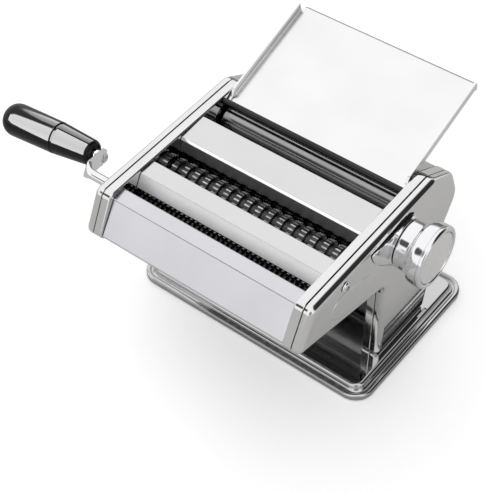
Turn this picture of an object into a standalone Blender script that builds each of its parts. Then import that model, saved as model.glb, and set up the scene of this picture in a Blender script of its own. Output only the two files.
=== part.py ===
"""Hand-cranked pasta roller machine: two smooth rollers, a wide and a narrow cutter pair.

Metres, +Z up.  +X is the adjusting knob's side, -X the crank's side, -Y the front where the pasta
comes out.  Shapes are built about the middle of the base tray; at the end everything moves by
FRAME_SHIFT, so the origin is on the resting surface under the middle of the whole object.
"""

import math

import bmesh
import bpy
import numpy as np
from mathutils import Matrix, Vector

MM = 0.001
GAP = 0.3
FRAME_SHIFT = (60.25, 15.35, 0.0)

# Base tray, mm.
TRAY_HALF_X = 101.8
TRAY_HALF_Y = 70.3
TRAY_CORNER = 15.0
TRAY_TOP = 9.0
TRAY_UNDER = 7.8
FOOT_X = 84.0
FOOT_Y = 53.0
FOOT_RADIUS = 8.0

# Side housings: an inner shell and an outer cover on each side, mm from the middle plane.
INNER_FACE = 75.0
JOINT_X = 82.0
OUTER_FACE = 89.0
SHEET = 1.2
OUTLINE = [
    (-131.0, 104.4, 5.0),
    (-116.0, 135.9, 7.0),
    (21.0, 142.3, 12.0),
    (47.5, 129.0, 10.0),
    (57.0, 106.0, 16.0),
    (42.0, 80.0, 24.0),
    (30.0, 9.4, 3.0),
    (-31.0, 9.4, 3.0),
    (-31.0, 82.0, 10.0),
]

# Roller and cutter axes, (y, z) in mm, and their radii.
SMOOTH_FRONT = (-18.4, 119.2)
SMOOTH_REAR = (7.25, 119.2)
SMOOTH_RADIUS = 12.0
WIDE_FRONT = (-52.5, 113.0)
WIDE_REAR = (-37.8, 104.5)
WIDE_RADIUS = 9.4
WIDE_CORE = 7.0
WIDE_PITCH = 9.0
NARROW_FRONT = (-90.0, 110.8)
NARROW_REAR = (-76.9, 103.2)
NARROW_RADIUS = 8.4
NARROW_CORE = 6.3
NARROW_PITCH = 4.0
ROLLER_HALF = 74.3
COMB_SHOULDER = 7.2
END_LAND = 3.4
SHAFT_RADIUS = 3.0

# Axes that the crank can be put into, the cover screws, and the cross rods with their radii, mm.
SOCKETS = (NARROW_FRONT, WIDE_FRONT, SMOOTH_REAR)
SCREW = (-82.0, 128.6)
TIE_RODS = (
    ("tie_rod_top", (3.0, 137.8), 2.4),
    ("tie_rod_front", (-110.0, 115.0), 2.6),
    ("tie_rod_low", (10.0, 30.0), 3.2),
)

# Gears in the crank-side housing, two layers deep, mm from the middle plane.
LAYER_ONE = (77.0, 81.0)
LAYER_TWO = (82.4, 86.2)

# Cover plates, mm.
PLATE = 1.0
PLATE_HALF = 74.6

# Adjusting knob, mm along +X.
KNOB_BACK = 94.3
KNOB_END = 118.0
REGULATOR_SHAFT = 4.6
PIN_THROW = 1.2

# Feed tray, mm and degrees.
FEED_HALF = 74.3
FEED_START = (6.5, 134.4)
FEED_ANGLE = 20.4
FEED_LENGTH = 96.0

# Crank, mm.
CRANK_SHAFT = 3.6
CRANK_BEND = -124.0
CRANK_EYE = (-146.5, -52.0, 83.4)
GRIP_AXIS = Vector((-0.9955, -0.0600, -0.0500)).normalized()
GRIP_LENGTH = 85.0

SEGMENTS = 24


def clear_scene():
    for obj in list(bpy.data.objects):
        bpy.data.objects.remove(obj, do_unlink=True)
    for collection in list(bpy.data.collections):
        bpy.data.collections.remove(collection)


def new_collection(name, rendered):
    collection = bpy.data.collections.new(name)
    collection.hide_render = not rendered
    bpy.context.scene.collection.children.link(collection)
    return collection


def make_material(name, colour, roughness, metallic):
    material = bpy.data.materials.new(name)
    material.use_nodes = True
    shader = material.node_tree.nodes["Principled BSDF"]
    shader.inputs["Base Color"].default_value = (*colour, 1.0)
    shader.inputs["Roughness"].default_value = roughness
    shader.inputs["Metallic"].default_value = metallic
    material.diffuse_color = (*colour, 1.0)
    return material


clear_scene()
PARTS = new_collection("pasta_roller_machine", True)
CUTTERS = new_collection("cutters", False)


# Flat outlines, in (y, z) millimetres.


def rounded(corners, step=22.5):
    """The polygon through (y, z, radius) corners, each corner turned into an arc."""
    points = []
    count = len(corners)
    for index in range(count):
        here = np.array(corners[index][:2], float)
        before = np.array(corners[index - 1][:2], float) - here
        after = np.array(corners[(index + 1) % count][:2], float) - here
        before /= np.linalg.norm(before)
        after /= np.linalg.norm(after)
        half = math.acos(float(np.clip(before @ after, -1.0, 1.0))) / 2.0
        radius = corners[index][2]
        if radius <= 0.0:
            points.append(tuple(here))
            continue
        middle = before + after
        middle /= np.linalg.norm(middle)
        centre = here + middle * radius / math.sin(half)
        start = here + before * radius / math.tan(half) - centre
        end = here + after * radius / math.tan(half) - centre
        first = math.atan2(start[1], start[0])
        turn = math.atan2(end[1], end[0]) - first
        turn = (turn + math.pi) % (2.0 * math.pi) - math.pi
        pieces = max(2, int(round(abs(math.degrees(turn)) / step)))
        for piece in range(pieces + 1):
            angle = first + turn * piece / pieces
            points.append((centre[0] + radius * math.cos(angle), centre[1] + radius * math.sin(angle)))
    return points


def inset(corners, distance):
    """The same corner list with every side moved inwards and the radii following."""
    count = len(corners)
    area = 0.0
    for index in range(count):
        a, b = corners[index], corners[(index + 1) % count]
        area += a[0] * b[1] - b[0] * a[1]
    sign = 1.0 if area > 0.0 else -1.0
    moved = []
    for index in range(count):
        here = np.array(corners[index][:2], float)
        back = here - np.array(corners[index - 1][:2], float)
        ahead = np.array(corners[(index + 1) % count][:2], float) - here
        back /= np.linalg.norm(back)
        ahead /= np.linalg.norm(ahead)
        normal_back = sign * np.array([-back[1], back[0]])
        normal_ahead = sign * np.array([-ahead[1], ahead[0]])
        bisector = normal_back + normal_ahead
        bisector /= bisector @ normal_back
        convex = sign * (back[0] * ahead[1] - back[1] * ahead[0]) > 0.0
        radius = corners[index][2] - distance if convex else corners[index][2] + distance
        place = here + bisector * distance
        moved.append((place[0], place[1], max(radius, 0.4)))
    return moved


# Solids.  Every helper takes millimetres and returns a mesh object.


def place(name, mesh, material, collection, origin=(0.0, 0.0, 0.0)):
    obj = bpy.data.objects.new(name, mesh)
    obj.location = Vector(origin) * MM
    if material is not None:
        mesh.materials.clear()
        mesh.materials.append(material)
    collection.objects.link(obj)
    if collection is CUTTERS:
        obj.hide_render = True
        obj.display_type = "WIRE"
    return obj


def finish(obj, angle=32.0):
    """Applies the modifiers, joins doubled points and shades smooth up to a sharp angle."""
    bpy.context.view_layer.update()
    graph = bpy.context.evaluated_depsgraph_get()
    mesh = bpy.data.meshes.new_from_object(obj.evaluated_get(graph), depsgraph=graph)
    edit = bmesh.new()
    edit.from_mesh(mesh)
    bmesh.ops.remove_doubles(edit, verts=edit.verts, dist=1e-6)
    bmesh.ops.dissolve_degenerate(edit, edges=edit.edges, dist=1e-6)
    edit.to_mesh(mesh)
    edit.free()
    mesh.name = obj.name
    obj.modifiers.clear()
    obj.data = mesh
    mesh.shade_smooth()
    mesh.set_sharp_from_angle(angle=math.radians(angle))
    return obj


def prism(name, outline, x0, x1, material=None, collection=None, origin=(0.0, 0.0, 0.0)):
    """A flat outline in (y, z), filled and extruded from x0 to x1."""
    collection = collection or PARTS
    curve = bpy.data.curves.new(name, "CURVE")
    curve.dimensions = "2D"
    curve.fill_mode = "BOTH"
    curve.extrude = (x1 - x0) / 2.0 * MM
    spline = curve.splines.new("POLY")
    spline.points.add(len(outline) - 1)
    for point, (y, z) in zip(spline.points, outline):
        point.co = ((y - origin[1]) * MM, (z - origin[2]) * MM, 0.0, 1.0)
    spline.use_cyclic_u = True
    guide = bpy.data.objects.new(name + "_outline", curve)
    PARTS.objects.link(guide)
    bpy.context.view_layer.update()
    graph = bpy.context.evaluated_depsgraph_get()
    mesh = bpy.data.meshes.new_from_object(guide.evaluated_get(graph), depsgraph=graph)
    bpy.data.objects.remove(guide, do_unlink=True)
    # The outline's plane is turned so that its first axis is Y, its second Z and its depth X.
    turn = Matrix(((0.0, 0.0, 1.0), (1.0, 0.0, 0.0), (0.0, 1.0, 0.0))).to_4x4()
    mesh.transform(Matrix.Translation(((x0 + x1) / 2.0 * MM - origin[0] * MM, 0.0, 0.0)) @ turn)
    edit = bmesh.new()
    edit.from_mesh(mesh)
    bmesh.ops.remove_doubles(edit, verts=edit.verts, dist=1e-6)
    bmesh.ops.recalc_face_normals(edit, faces=edit.faces)
    edit.to_mesh(mesh)
    edit.free()
    return place(name, mesh, material, collection, origin)


def turned(name, profile, centre, material=None, collection=None, segments=SEGMENTS, axis=None):
    """A solid turned about the X axis through centre; profile is (x, radius), end to end."""
    collection = collection or PARTS
    edit = bmesh.new()
    points = [edit.verts.new((x * MM, 0.0, radius * MM)) for x, radius in profile]
    for first, second in zip(points, points[1:]):
        edit.edges.new((first, second))
    mesh = bpy.data.meshes.new(name)
    edit.to_mesh(mesh)
    edit.free()
    obj = place(name, mesh, material, collection, centre)
    screw = obj.modifiers.new("turn", "SCREW")
    screw.axis = "X"
    screw.steps = segments
    screw.render_steps = segments
    screw.use_merge_vertices = True
    screw.merge_threshold = 0.00001
    screw.use_normal_calculate = True
    finish(obj)
    edit = bmesh.new()
    edit.from_mesh(obj.data)
    bmesh.ops.recalc_face_normals(edit, faces=edit.faces)
    edit.to_mesh(obj.data)
    edit.free()
    if axis is not None:
        obj.data.transform(Vector((1.0, 0.0, 0.0)).rotation_difference(axis).to_matrix().to_4x4())
    return obj


def rod(name, x0, x1, radius, centre, material=None, collection=None, segments=SEGMENTS, chamfer=0.0):
    profile = [(x0, 0.0), (x0, radius - chamfer), (x0 + chamfer, radius)]
    profile += [(x1 - chamfer, radius), (x1, radius - chamfer), (x1, 0.0)]
    if chamfer <= 0.0:
        profile = [(x0, 0.0), (x0, radius), (x1, radius), (x1, 0.0)]
    return turned(name, profile, (0.0, *centre), material, collection, segments)


def block(name, low, high, material=None, collection=None):
    """A rectangular block between two corners."""
    collection = collection or PARTS
    mesh = bpy.data.meshes.new(name)
    edit = bmesh.new()
    bmesh.ops.create_cube(edit, size=1.0)
    low, high = Vector(low), Vector(high)
    size = (high - low) * MM
    bmesh.ops.scale(edit, vec=size, verts=edit.verts)
    edit.to_mesh(mesh)
    edit.free()
    return place(name, mesh, material, collection, (low + high) / 2.0)


def loft(name, rings, material=None, collection=None, origin=(0.0, 0.0, 0.0), closed=False):
    """Rings of equal point count joined in order, capped at both ends or closed on itself."""
    collection = collection or PARTS
    edit = bmesh.new()
    rows = []
    for ring in rings:
        rows.append([edit.verts.new((Vector(point) - Vector(origin)) * MM) for point in ring])
    pairs = list(zip(rows, rows[1:]))
    if closed:
        pairs.append((rows[-1], rows[0]))
    for low, high in pairs:
        count = len(low)
        for index in range(count):
            following = (index + 1) % count
            edit.faces.new((low[index], low[following], high[following], high[index]))
    if not closed:
        edit.faces.new(list(reversed(rows[0])))
        edit.faces.new(rows[-1])
    bmesh.ops.recalc_face_normals(edit, faces=edit.faces)
    mesh = bpy.data.meshes.new(name)
    edit.to_mesh(mesh)
    edit.free()
    obj = place(name, mesh, material, collection, origin)
    return finish(obj)


def boolean(obj, tool, operation):
    modifier = obj.modifiers.new(operation.lower(), "BOOLEAN")
    modifier.operation = operation
    modifier.solver = "EXACT"
    modifier.object = tool
    return modifier


def cut(obj, tools):
    for tool in tools:
        boolean(obj, tool, "DIFFERENCE")
    return finish(obj)


def join(obj, tools):
    for tool in tools:
        boolean(obj, tool, "UNION")
    return finish(obj)


# Base.


def tray_ring(distance, z, steps=4):
    radius = max(TRAY_CORNER - distance, 4.0)
    half_x = TRAY_HALF_X - distance
    half_y = TRAY_HALF_Y - distance
    ring = []
    for quarter, (sx, sy) in enumerate(((1, 1), (-1, 1), (-1, -1), (1, -1))):
        for step in range(steps + 1):
            angle = math.radians(90.0 * quarter + 90.0 * step / steps)
            x = sx * (half_x - radius) + radius * math.cos(angle)
            y = sy * (half_y - radius) + radius * math.sin(angle)
            ring.append((x, y, z))
    return ring


def base_tray(steel):
    skin = [
        (9.6, TRAY_TOP),
        (8.4, 8.8),
        (7.6, 8.1),
        (6.2, 5.2),
        (5.2, 4.3),
        (4.2, 4.3),
        (3.4, 5.2),
        (2.4, 5.9),
        (1.2, 5.8),
        (0.3, 5.1),
        (0.0, 4.2),
        (0.0, 1.4),
        (0.5, 0.9),
        (1.2, 1.4),
        (1.2, 3.8),
        (2.0, 4.7),
        (3.2, 4.1),
        (4.2, 3.1),
        (6.0, 3.3),
        (9.0, TRAY_UNDER),
    ]
    obj = loft("base_tray", [tray_ring(distance, z) for distance, z in skin], steel)
    slot = block("tray_slot_cutter", (90.6, 17.5, 0.0), (92.6, 28.5, 15.0), None, CUTTERS)
    return cut(obj, [slot])


def feet(rubber):
    for name, sx, sy in (
        ("foot_front_left", -1, -1),
        ("foot_front_right", 1, -1),
        ("foot_back_left", -1, 1),
        ("foot_back_right", 1, 1),
    ):
        profile = [(0.0, 0.0), (0.0, 7.2), (0.8, FOOT_RADIUS), (7.5, FOOT_RADIUS), (7.5, 0.0)]
        centre = (sx * FOOT_X, sy * FOOT_Y, 0.0)
        turned(name, profile, centre, rubber, segments=16, axis=Vector((0.0, 0.0, 1.0)))


# Side housings.


def pan(name, side, mouth, floor, lip_radius, material):
    """A shallow sheet pan whose floor is the plane x = floor and whose mouth is at x = mouth."""
    outward = 1.0 if floor > mouth else -1.0
    body = prism(name, rounded(OUTLINE), min(mouth, floor), max(mouth, floor), material)
    edit = bmesh.new()
    edit.from_mesh(body.data)
    edge_x = floor * MM
    rim = [e for e in edit.edges if all(abs(v.co.x - edge_x) < 1e-6 for v in e.verts)]
    rim = [e for e in rim if len(e.link_faces) == 2 and e.calc_face_angle(0.0) > 0.5]
    pieces = 3 if lip_radius > 2.0 else 1
    bmesh.ops.bevel(edit, geom=rim, offset=lip_radius * MM, segments=pieces, profile=0.5, affect="EDGES")
    edit.to_mesh(body.data)
    edit.free()
    hollow = prism(
        name + "_hollow",
        rounded(inset(OUTLINE, SHEET)),
        min(mouth - outward * 2.0, floor - outward * SHEET),
        max(mouth - outward * 2.0, floor - outward * SHEET),
        None,
        CUTTERS,
    )
    if lip_radius > 2.0:
        edit = bmesh.new()
        edit.from_mesh(hollow.data)
        edge_x = (floor - outward * SHEET) * MM
        rim = [e for e in edit.edges if all(abs(v.co.x - edge_x) < 1e-6 for v in e.verts)]
        rim = [e for e in rim if len(e.link_faces) == 2 and e.calc_face_angle(0.0) > 0.5]
        inner = (lip_radius - SHEET) * MM
        bmesh.ops.bevel(edit, geom=rim, offset=inner, segments=2, profile=0.5, affect="EDGES")
        edit.to_mesh(hollow.data)
        edit.free()
    if side < 0:
        for piece in (body, hollow):
            piece.data.transform(Matrix.Scale(-1.0, 4, Vector((1.0, 0.0, 0.0))))
            piece.data.flip_normals()
    return cut(body, [hollow])


def hole(name, x0, x1, radius, centre, segments=16):
    return rod(name, x0, x1, radius, centre, None, CUTTERS, segments)


def inner_shell(name, side, steel):
    shell = pan(name, side, JOINT_X - 0.3, INNER_FACE, 1.0, steel)
    low, high = sorted((side * (INNER_FACE - 2.0), side * (INNER_FACE + 3.0)))
    tools = []
    for tag, centre in (
        ("rear", SMOOTH_REAR),
        ("wide_front", WIDE_FRONT),
        ("wide_rear", WIDE_REAR),
        ("narrow_front", NARROW_FRONT),
        ("narrow_rear", NARROW_REAR),
    ):
        tools.append(hole(f"{name}_{tag}_bore", low, high, SHAFT_RADIUS + GAP, centre))
    for tag, centre, radius in TIE_RODS:
        tools.append(hole(f"{name}_{tag}_bore", low, high, radius - 1.0 + GAP, centre))
    y, z = SMOOTH_FRONT
    window = block(name + "_window", (low, y - 7.2, z - 4.3), (high, y + 7.2, z + 4.3), None, CUTTERS)
    tools.append(window)
    return cut(shell, tools)


def left_cover(steel):
    cover = pan("side_cover_left", -1, JOINT_X + 0.3, OUTER_FACE, 4.5, steel)
    tools = []
    for index, centre in enumerate(SOCKETS):
        tools.append(hole(f"socket_hole_{index}", -95.0, -85.0, 7.0, centre, 24))
    tools.append(hole("left_screw_hole", -95.0, -85.0, 2.3, SCREW, 12))
    return cut(cover, tools)


def long_oval():
    """The raised long oval on the outer face, leaning down towards the back."""
    lean = math.radians(-14.0)
    outline = []
    for step in range(32):
        angle = 2.0 * math.pi * step / 32
        along = 16.0 * math.cos(angle) + math.copysign(9.0, math.cos(angle))
        across = 10.0 * math.sin(angle)
        y = -71.0 + along * math.cos(lean) - across * math.sin(lean)
        z = 109.2 + along * math.sin(lean) + across * math.cos(lean)
        outline.append((y, z))
    return outline


def right_cover(steel):
    cover = pan("side_cover_right", 1, JOINT_X + 0.3, OUTER_FACE, 4.5, steel)
    oval = prism("oval_pad", long_oval(), OUTER_FACE - 0.5, OUTER_FACE + 0.35, None, CUTTERS)
    join(cover, [oval])
    tools = [
        hole("regulator_hole", 85.0, 95.0, REGULATOR_SHAFT + GAP, SMOOTH_FRONT),
        hole("right_screw_hole", 85.0, 95.0, 2.3, SCREW, 12),
    ]
    return cut(cover, tools)


def side_screw(name, side, steel):
    """A pan-head cross-recess screw through the outer cover."""
    face = OUTER_FACE + GAP
    profile = [
        (face - 6.0, 0.0),
        (face - 6.0, 1.9),
        (face, 1.9),
        (face, 3.9),
        (face + 0.7, 3.7),
        (face + 1.5, 2.6),
        (face + 1.9, 0.0),
    ]
    if side < 0:
        profile = [(-x, radius) for x, radius in profile]
    screw = turned(name, profile, (0.0, *SCREW), steel, segments=12)
    y, z = SCREW
    low, high = sorted((side * (face + 0.8), side * (face + 4.0)))
    tools = [
        block(name + "_slot_a", (low, y - 2.0, z - 0.45), (high, y + 2.0, z + 0.45), None, CUTTERS),
        block(name + "_slot_b", (low, y - 0.45, z - 2.0), (high, y + 0.45, z + 2.0), None, CUTTERS),
    ]
    return cut(screw, tools)


def tie_rods(steel):
    """Cross rods: a thick middle between the inner shells and thinner ends through them."""
    for name, centre, radius in TIE_RODS:
        neck = radius - 1.0
        half = INNER_FACE - GAP
        end = INNER_FACE + SHEET + 2.4
        profile = [
            (-end, 0.0),
            (-end, neck),
            (-half, neck),
            (-half, radius),
            (half, radius),
            (half, neck),
            (end, neck),
            (end, 0.0),
        ]
        turned(name, profile, (0.0, *centre), steel, segments=12)


# Cover plates.


def sheet_section(points, thickness):
    """A bent strip: the centre line (y, z) given, thickness on its left-hand side."""
    line = [np.array(point, float) for point in points]
    offset = []
    for index, here in enumerate(line):
        normals = []
        if index > 0:
            along = here - line[index - 1]
            along /= np.linalg.norm(along)
            normals.append(np.array([-along[1], along[0]]))
        if index < len(line) - 1:
            along = line[index + 1] - here
            along /= np.linalg.norm(along)
            normals.append(np.array([-along[1], along[0]]))
        mean = sum(normals)
        mean /= np.linalg.norm(mean)
        mean /= mean @ normals[0]
        offset.append(here + mean * thickness)
    return [tuple(p) for p in line] + [tuple(p) for p in reversed(offset)]


def bend(start, corner, end, radius, pieces=4):
    """Points of a rounded bend at corner, for a line running start, corner, end."""
    arc = rounded([(*start, 0.0), (*corner, radius), (*end, 0.0)], 90.0 / pieces)
    return arc[1:-1]


def bent_plate(name, line, material):
    """A sheet plate across the machine, its line given on the upper face, sheet below it."""
    return finish(prism(name, sheet_section(line, -PLATE), -PLATE_HALF, PLATE_HALF, material))


def polyline(points):
    """A bent line: (y, z, radius) stations, the ends left as they are."""
    line = [tuple(points[0][:2])]
    for before, here, after in zip(points, points[1:], points[2:]):
        if here[2] > 0.0:
            line += bend(before[:2], here[:2], after[:2], here[2])
        else:
            line.append(tuple(here[:2]))
    line.append(tuple(points[-1][:2]))
    return line


def cover_plates(steel):
    front = [
        (-122.0, 103.2, 0),
        (-128.3, 106.4, 1.6),
        (-113.8, 131.2, 2.2),
        (-102.8, 133.0, 1.4),
        (-101.4, 127.0, 0),
    ]
    middle = [
        (-90.4, 125.0, 0),
        (-86.4, 134.8, 1.4),
        (-72.2, 135.6, 1.4),
        (-70.8, 126.0, 0),
    ]
    back = [
        (-44.8, 124.6, 0),
        (-44.6, 136.8, 1.4),
        (-19.4, 139.0, 1.2),
        (-18.6, 135.2, 0),
    ]
    rear = [
        (21.2, 137.6, 0),
        (23.2, 141.0, 1.2),
        (46.0, 129.0, 5.0),
        (54.8, 106.0, 10.0),
        (40.2, 80.5, 14.0),
        (28.6, 12.0, 0),
    ]
    bent_plate("front_cover", polyline(front), steel)
    bent_plate("middle_cover", polyline(middle), steel)
    bent_plate("back_cover", polyline(back), steel)
    bent_plate("rear_cover", polyline(rear), steel)


# Rollers and cutters.  All shafts run in the inner shells.


def socket_end(profile, end):
    """Adds a blind socket to the crank end of a shaft profile that starts at x = end."""
    return [(end + 8.5, 0.0), (end + 8.5, 4.0), (end, 4.0), (end, 5.6)] + profile


def smooth_roller(name, centre, driven, material):
    """A plain roller with bevelled ends on a thinner shaft."""
    body = SMOOTH_RADIUS
    neck = SHAFT_RADIUS
    profile = [
        (-ROLLER_HALF + 0.2, neck),
        (-ROLLER_HALF + 0.2, body - 3.0),
        (-ROLLER_HALF + 2.2, body),
        (ROLLER_HALF - 2.2, body),
        (ROLLER_HALF - 0.2, body - 3.0),
        (ROLLER_HALF - 0.2, neck),
        (79.6, neck),
        (79.6, 0.0),
    ]
    if driven:
        profile = socket_end([(-76.6, 5.6), (-76.6, neck)], -87.6) + profile
    else:
        profile = [(-81.4, 0.0), (-81.4, neck)] + profile
    return turned(name, profile, (0.0, *centre), material)


def cutter(name, centre, radius, core, pitch, phase, land, driven, material, segments):
    """A cutter roller: rings with grooves between them, offset by phase of a pitch."""
    neck = SHAFT_RADIUS
    if driven:
        profile = socket_end([(-76.6, 5.6), (-76.6, neck)], -87.6)
    else:
        profile = [(-86.9, 0.0), (-86.9, neck)]
    profile += [(-ROLLER_HALF, neck), (-ROLLER_HALF, core)]
    slope = (pitch - 2.0 * land) / 2.0
    centre_x = -ROLLER_HALF + END_LAND + phase * pitch
    while centre_x < ROLLER_HALF - END_LAND + 0.1:
        profile += [(centre_x - land / 2.0 - slope, core), (centre_x - land / 2.0, radius)]
        if land > 0.1:
            profile += [(centre_x + land / 2.0, radius)]
            profile += [(centre_x + land / 2.0 + slope, core)]
        centre_x += pitch
    if land <= 0.1:
        profile.append((centre_x - pitch + slope, core))
    profile += [(ROLLER_HALF, core), (ROLLER_HALF, neck), (79.6, neck), (79.6, 0.0)]
    return turned(name, profile, (0.0, *centre), material, segments=segments)


def gear(name, layer, centre, pitch_radius, teeth, addendum, dedendum, turn, material, bore):
    """A straight-tooth gear disc with slack between its teeth, bored for its shaft."""
    outline = []
    step = 2.0 * math.pi / teeth
    for tooth in range(teeth):
        middle = turn + tooth * step
        for share, radius in (
            (-0.28, pitch_radius - dedendum),
            (-0.09, pitch_radius + addendum),
            (0.09, pitch_radius + addendum),
            (0.28, pitch_radius - dedendum),
        ):
            angle = middle + share * step
            outline.append((centre[0] + radius * math.cos(angle), centre[1] + radius * math.sin(angle)))
    disc = prism(name, outline, -layer[1], -layer[0], material, PARTS, (0.0, *centre))
    tool = hole(name + "_bore", -layer[1] - 1.0, -layer[0] + 1.0, bore, centre, SEGMENTS)
    return cut(disc, [tool])


def gears(steel):
    """Three pairs of equal gears in mesh at rest: a tooth of one points into a gap of the other."""
    for tag, layer, front, rear, teeth, addendum, dedendum, bores in (
        ("smooth", LAYER_ONE, SMOOTH_FRONT, SMOOTH_REAR, 12, 1.4, 3.0, (3.0, 5.6)),
        ("wide", LAYER_TWO, WIDE_FRONT, WIDE_REAR, 10, 1.3, 1.9, (5.6, 3.0)),
        ("narrow", LAYER_TWO, NARROW_FRONT, NARROW_REAR, 10, 0.9, 1.5, (5.6, 3.0)),
    ):
        line = math.atan2(rear[1] - front[1], rear[0] - front[0])
        opposite = line + math.pi + math.pi / teeth
        radius = math.hypot(rear[0] - front[0], rear[1] - front[1]) / 2.0
        shape = (teeth, addendum, dedendum)
        gear(f"{tag}_gear_front", layer, front, radius, *shape, line, steel, bores[0] + 0.05)
        gear(f"{tag}_gear_rear", layer, rear, radius, *shape, opposite, steel, bores[1] + 0.05)


# Combs and scrapers under the rollers.


def comb(name, centre, core, pitch, phase, half, away, material):
    """A comb whose teeth reach into a cutter's grooves.  away is the unit (y, z) from the nip."""
    down = np.array([-away[1], away[0]])
    if down[1] > 0.0:
        down = -down
    root = np.array(centre) + down * (core + 0.5)
    tip, shoulder, heel = -2.0, COMB_SHOULDER, COMB_SHOULDER + 4.0
    outline = [(heel, -PLATE_HALF), (shoulder, -PLATE_HALF)]
    x = -ROLLER_HALF + END_LAND + (phase + 0.5) * pitch
    while x < ROLLER_HALF - END_LAND - pitch * 0.3:
        outline += [(shoulder, x - half), (tip, x - half), (tip, x + half), (shoulder, x + half)]
        x += pitch
    outline += [(shoulder, PLATE_HALF), (heel, PLATE_HALF)]
    plate = prism(name, outline, -0.4, 0.4, material)
    columns = Matrix(
        (
            (0.0, 0.0, 1.0, 0.0),
            (down[0], away[0], 0.0, (root[0] + down[0] * 0.4) * MM),
            (down[1], away[1], 0.0, (root[1] + down[1] * 0.4) * MM),
            (0.0, 0.0, 0.0, 1.0),
        )
    )
    plate.data.transform(columns)
    if columns.determinant() < 0.0:
        plate.data.flip_normals()
    return finish(plate)


def combs(steel):
    for tag, front, rear, core, pitch, half in (
        ("wide", WIDE_FRONT, WIDE_REAR, WIDE_CORE, WIDE_PITCH, 1.8),
        ("narrow", NARROW_FRONT, NARROW_REAR, NARROW_CORE, NARROW_PITCH, 0.35),
    ):
        line = np.array(rear) - np.array(front)
        line = line / np.linalg.norm(line)
        comb(f"{tag}_comb_front", front, core, pitch, 0.0, half, -line, steel)
        comb(f"{tag}_comb_rear", rear, core, pitch, 0.5, half, line, steel)


def scrapers(steel):
    """Thin blades lying under the smooth rollers."""
    for name, centre, side in (
        ("scraper_front", SMOOTH_FRONT, -1.0),
        ("scraper_rear", SMOOTH_REAR, 1.0),
    ):
        y, z = centre
        line = [
            (y + side * 2.0, z - SMOOTH_RADIUS - 1.2),
            (y + side * 9.0, z - SMOOTH_RADIUS - 3.6),
            (y + side * 9.5, z - SMOOTH_RADIUS - 8.0),
        ]
        if side > 0:
            line = line[::-1]
        outline = sheet_section(line, 0.8)
        finish(prism(name, outline, -PLATE_HALF, PLATE_HALF, steel))


# Roller adjuster in the knob-side housing.


def bearing_blocks(material):
    """The sliding blocks that carry the front smooth roller; the right one is also the yoke."""
    y, z = SMOOTH_FRONT
    left = block("bearing_block_left", (-76.7, y - 5.0, z - 4.0), (-74.7, y + 5.0, z + 4.0), material)
    cut(left, [hole("left_block_bore", -78.0, -73.0, SHAFT_RADIUS + GAP, SMOOTH_FRONT, SEGMENTS)])
    right = block("bearing_block_right", (74.7, y - 5.0, z - 4.0), (78.0, y + 5.0, z + 4.0), material)
    yoke = block("yoke_body", (76.6, y - 8.5, z - 7.5), (82.4, y + 8.5, z + 7.5), None, CUTTERS)
    join(right, [yoke])
    low, high = z - PIN_THROW - 2.0, z + 2.0
    slot = block("yoke_slot", (80.2, y - 1.95, low), (84.0, y + 1.95, high), None, CUTTERS)
    cut(right, [hole("right_block_bore", 73.0, 80.0, SHAFT_RADIUS + GAP, SMOOTH_FRONT, SEGMENTS), slot])


def teardrop(x, radius, stretch, top):
    """A circle round the knob's axis, drawn out forward into a wide point, its top edge level."""
    y0, z0 = SMOOTH_FRONT
    ring = []
    for step in range(40):
        degrees = 360.0 * step / 40
        angle = math.radians(degrees)
        reach = radius
        if 126.0 < degrees < 216.0:
            reach += stretch * ((216.0 - degrees) / 52.0) ** 1.5
        if math.sin(angle) > 0.1:
            reach = min(reach, top / math.sin(angle))
        ring.append((x, y0 + reach * math.cos(angle), z0 + reach * math.sin(angle)))
    return ring


def collar(steel):
    """The raised seat of the knob on the right housing."""
    base = OUTER_FACE + GAP
    rings = [
        teardrop(base, 6.2, 0.0, 30.0),
        teardrop(base, 19.8, 16.0, 14.4),
        teardrop(base + 0.9, 19.4, 15.2, 14.7),
        teardrop(base + 2.4, 18.6, 9.0, 16.0),
        teardrop(base + 3.6, 17.9, 0.0, 30.0),
        teardrop(base + 4.4, 17.5, 0.0, 30.0),
        teardrop(base + 4.4, 6.2, 0.0, 30.0),
    ]
    loft("adjuster_collar", rings, steel, closed=True)


def adjuster(steel, light):
    y, z = SMOOTH_FRONT
    shaft = turned(
        "adjuster_shaft",
        [
            (83.0, 0.0),
            (83.0, 7.6),
            (85.6, 7.6),
            (85.6, REGULATOR_SHAFT),
            (111.0, REGULATOR_SHAFT),
            (111.0, 0.0),
        ],
        (0.0, y, z),
        steel,
    )
    pin = rod("adjuster_pin", 80.5, 83.6, 1.5, (y, z - PIN_THROW), None, CUTTERS, 12)
    join(shaft, [pin])
    profile = [
        (112.0, 0.0),
        (112.0, REGULATOR_SHAFT + GAP),
        (KNOB_BACK, REGULATOR_SHAFT + GAP),
        (KNOB_BACK, 17.0),
        (KNOB_BACK + 0.8, 18.0),
        (102.0, 18.3),
        (103.6, 18.9),
        (105.2, 20.4),
        (106.4, 21.6),
        (107.6, 22.4),
        (108.8, 22.7),
        (114.4, 22.8),
        (114.9, 22.3),
        (115.3, 22.3),
        (115.8, 22.8),
        (117.0, 22.5),
        (117.8, 21.6),
        (KNOB_END, 20.6),
        (117.7, 19.6),
        (117.0, 19.1),
        (116.0, 19.1),
        (116.0, 0.0),
    ]
    turned("adjusting_knob", profile, (0.0, y, z), steel, segments=32)
    cap = [(116.3, 0.0), (116.3, 18.7), (117.0, 18.7), (117.3, 18.4), (117.3, 0.0)]
    turned("knob_cap", cap, (0.0, y, z), light, segments=32)


# Crank.


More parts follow.
